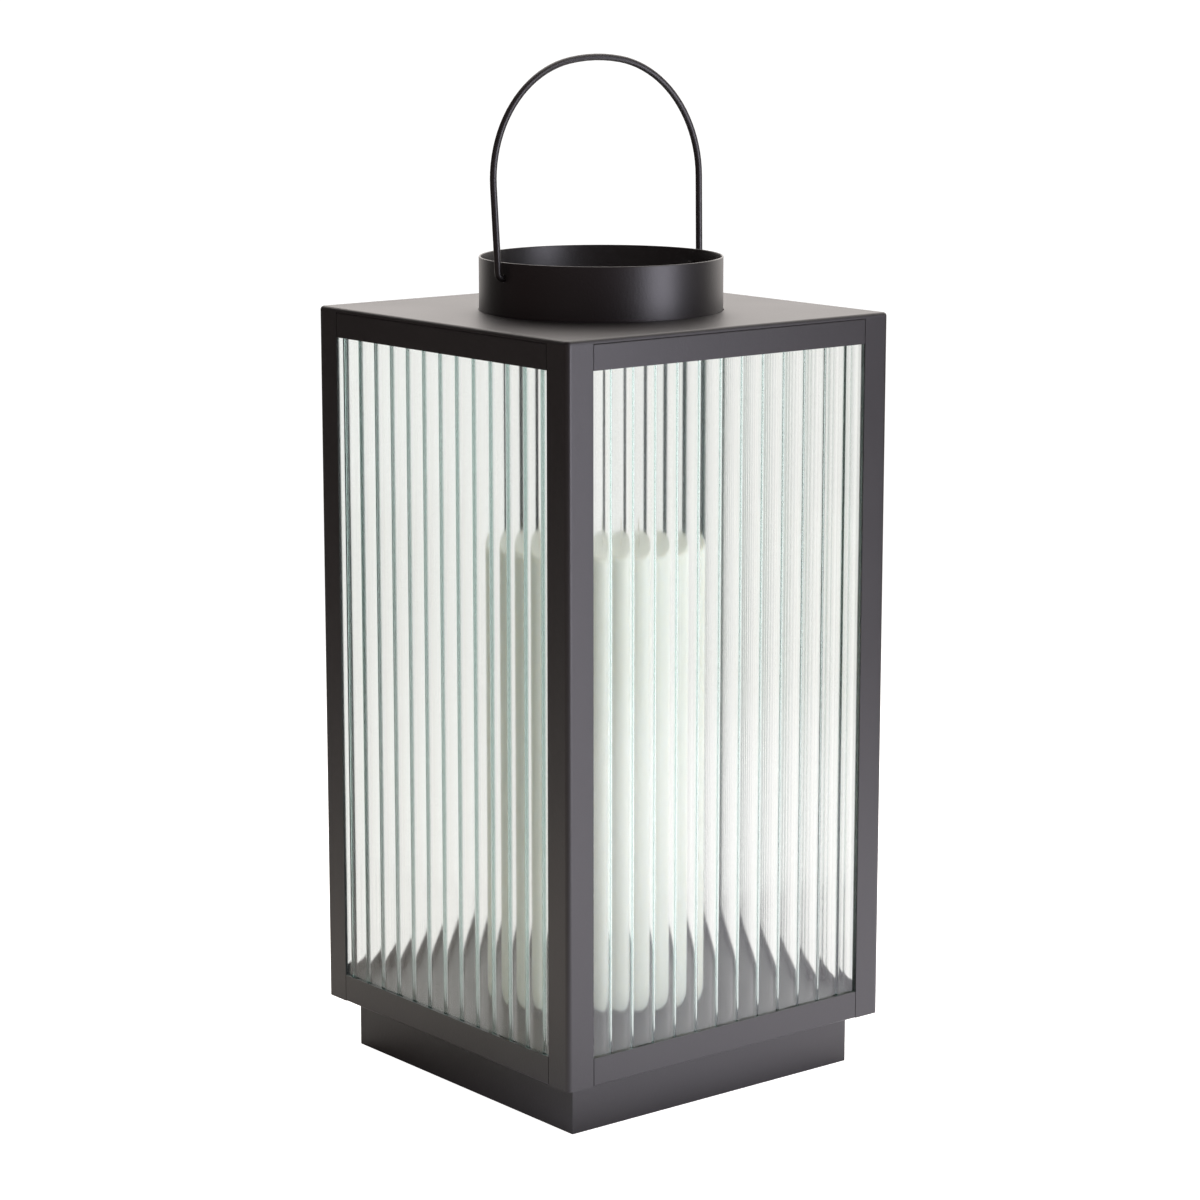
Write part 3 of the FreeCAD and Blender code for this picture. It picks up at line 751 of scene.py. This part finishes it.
def studio_world():
    """White to the camera, a white cove through the glass, else a bright backdrop in a dark room."""
    world = bpy.data.worlds.new("studio")
    bpy.context.scene.world = world
    world.use_nodes = True
    tree = world.node_tree
    tree.nodes.clear()
    path = add_node(tree, "ShaderNodeLightPath")
    through = path.outputs["Is Transmission Ray"]

    # How high a direction points, how far it points behind the lantern, and how far to the right
    direction = add_node(tree, "ShaderNodeTexCoord").outputs["Generated"]
    rise = add_node(tree, "ShaderNodeSeparateXYZ", {0: direction}).outputs["Z"]
    level = add_node(tree, "ShaderNodeVectorMath", {0: direction, 1: (1, 1, 0)}, operation="MULTIPLY")
    heading = add_node(tree, "ShaderNodeVectorMath", {0: level.outputs["Vector"]}, operation="NORMALIZE")
    behind, right = (
        add_node(tree, "ShaderNodeVectorMath", {0: heading.outputs["Vector"], 1: bearing},
                 operation="DOT_PRODUCT").outputs["Value"]
        for bearing in (BACKDROP_BEARING, BACKDROP_RIGHT)
    )

    backdrop = soft_step(tree, rise, BACKDROP_FOOT_RISE, BACKDROP_TOP_RISE, BACKDROP_FOOT, BACKDROP_TOP)
    spread = soft_step(tree, behind, math.cos(BACKDROP_FADE_END), math.cos(BACKDROP_FADE_START), 0, 1)
    room_level = mix(tree, "FLOAT", spread, ROOM_LEVEL, backdrop)
    cove = soft_step(tree, behind, *FRONT_TO_BEHIND, SEEN_THROUGH_FRONT, SEEN_THROUGH_BEHIND)
    slope = add_node(tree, "ShaderNodeMath", {0: right, 1: SEEN_THROUGH_SLOPE, 2: 1.0},
                     operation="MULTIPLY_ADD")
    cove_level = add_node(tree, "ShaderNodeMath", {0: cove, 1: slope.outputs["Value"]},
                          operation="MULTIPLY")
    room_tint = mix(tree, "RGBA", soft_step(tree, behind, *FRONT_TO_BEHIND, 0, 1), ROOM_TINT, BACKDROP_TINT)

    room = add_node(tree, "ShaderNodeBackground", {
        "Color": mix(tree, "RGBA", through, room_tint, SEEN_THROUGH_TINT),
        "Strength": mix(tree, "FLOAT", through, room_level, cove_level.outputs["Value"]),
    })
    white = add_node(tree, "ShaderNodeBackground", {"Color": WHITE, "Strength": WHITE_LEVEL})
    seen = add_node(tree, "ShaderNodeMixShader", {
        "Fac": path.outputs["Is Camera Ray"],
        1: room.outputs["Background"],
        2: white.outputs["Background"],
    })
    add_node(tree, "ShaderNodeOutputWorld", {"Surface": seen.outputs["Shader"]})


def studio():
    """A white floor, a bright backdrop, a key and a high softbox from the right and a fill from the left."""
    bpy.context.scene.view_settings.view_transform = "Standard"
    light_paths = bpy.context.scene.cycles
    light_paths.max_bounces = LIGHT_BOUNCES
    light_paths.glossy_bounces = LIGHT_BOUNCES
    light_paths.transmission_bounces = LIGHT_BOUNCES
    studio_floor()
    studio_world()
    for name, lamp in SOFTBOXES.items():
        softbox(name, **lamp)


def camera():
    """The photograph's view."""
    data = bpy.data.cameras.new("photo_view")
    data.lens = CAMERA_LENS
    data.sensor_width = CAMERA_SENSOR
    data.sensor_fit = "AUTO"
    eye = bpy.data.objects.new("photo_view", data)
    bpy.context.scene.collection.objects.link(eye)
    eye.location = CAMERA_PLACE
    eye.rotation_euler = Vector(CAMERA_DIRECTION).to_track_quat("-Z", "Y").to_euler()
    bpy.context.scene.camera = eye


def seat(piece, material, body, node):
    """Gives a piece its material and body, and hides the node that it stands for."""
    dress(piece, material)
    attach(piece, body)
    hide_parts(node)


def main():
    """Sets up the view and the studio, coats the frame and adds the pieces that replace its nodes."""
    camera()
    studio()
    group = coat_group()
    frame_coat = coat_material("black_coating", group, **FRAME_COAT)
    roof_coat = coat_material("roof_coating", group, **ROOF_COAT)
    wire_coat = coat_material("wire_coating", group, **WIRE_COAT)
    glass = glass_material()
    for name, node in frame["nodes"].items():
        dress(node, roof_coat if name == "roof_plate" else frame_coat)

    pane = fluted_pane()
    for side, turn in SIDES.items():
        side_pane = pane if side == "front" else turned_copy(pane, f"fluted_glass_{side}", turn)
        seat(side_pane, glass, "lantern", f"glass_pane_{side}")
    seat(collar_ring(), frame_coat, "lantern", "collar")
    seat(bail_wire(), wire_coat, "bail", "bail_handle")
    seat(candle_pillar(), wax_material(), "candle", "candle_body")
    seat(candle_wick(), wick_material(), "candle", "candle_wick")


main()
